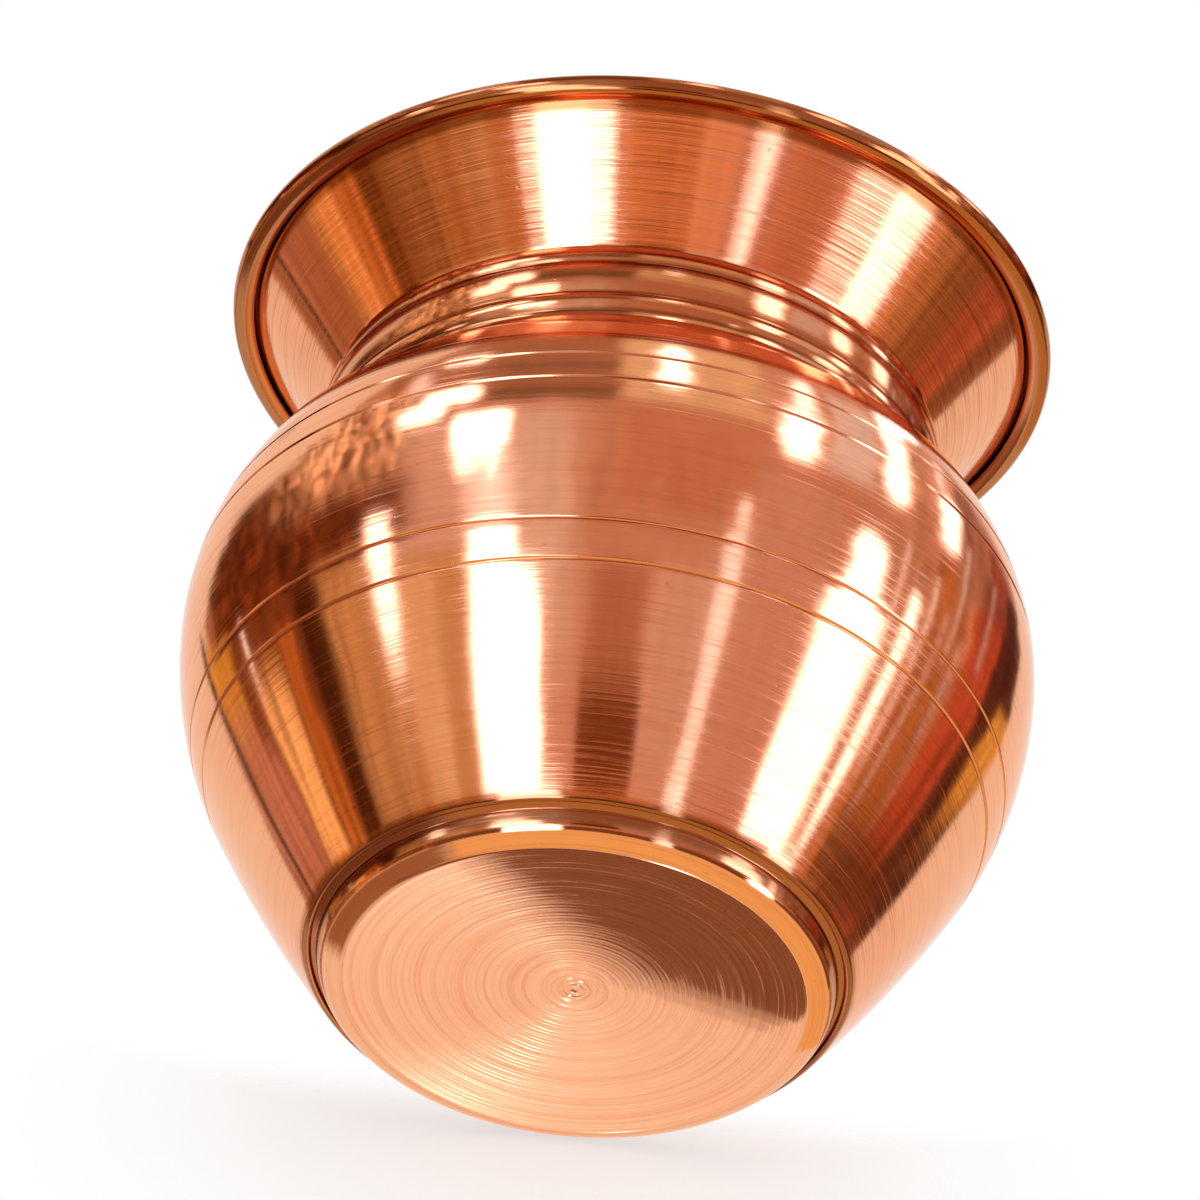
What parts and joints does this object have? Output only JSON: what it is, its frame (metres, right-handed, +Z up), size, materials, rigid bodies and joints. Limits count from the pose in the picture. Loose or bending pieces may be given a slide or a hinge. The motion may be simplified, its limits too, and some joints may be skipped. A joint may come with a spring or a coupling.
{
  "type": "lota",
  "caption": "Round-bellied copper water pot with a flat foot, stepped neck and flared mouth with a rolled rim, for holding and pouring water.",
  "frame": {"origin": "centre of the flat base, on the surface the pot stands on", "axes": "+Z runs up the pot's axis from the base to the mouth; X and Y are level, and the pot is the same all round"},
  "size_m": [0.108, 0.108, 0.1064],
  "materials": {
    "turned_base_copper": "copper, turned in fine rings",
    "polished_copper": "copper sheet, polished along the turning",
    "copper_wire": "drawn copper wire, unpolished",
    "brazing_filler": "brazing metal, as it set"
  },
  "bodies": {
    "root": {"base_pan": "turned_base_copper", "lower_bowl": "polished_copper", "upper_shell": "polished_copper", "neck_collar": "polished_copper", "mouth_flare": "polished_copper", "rim_wire": "copper_wire", "foot_seam": "brazing_filler", "belly_seam": "brazing_filler", "shoulder_seam": "brazing_filler", "mouth_seam": "brazing_filler"}
  },
  "joints": []
}
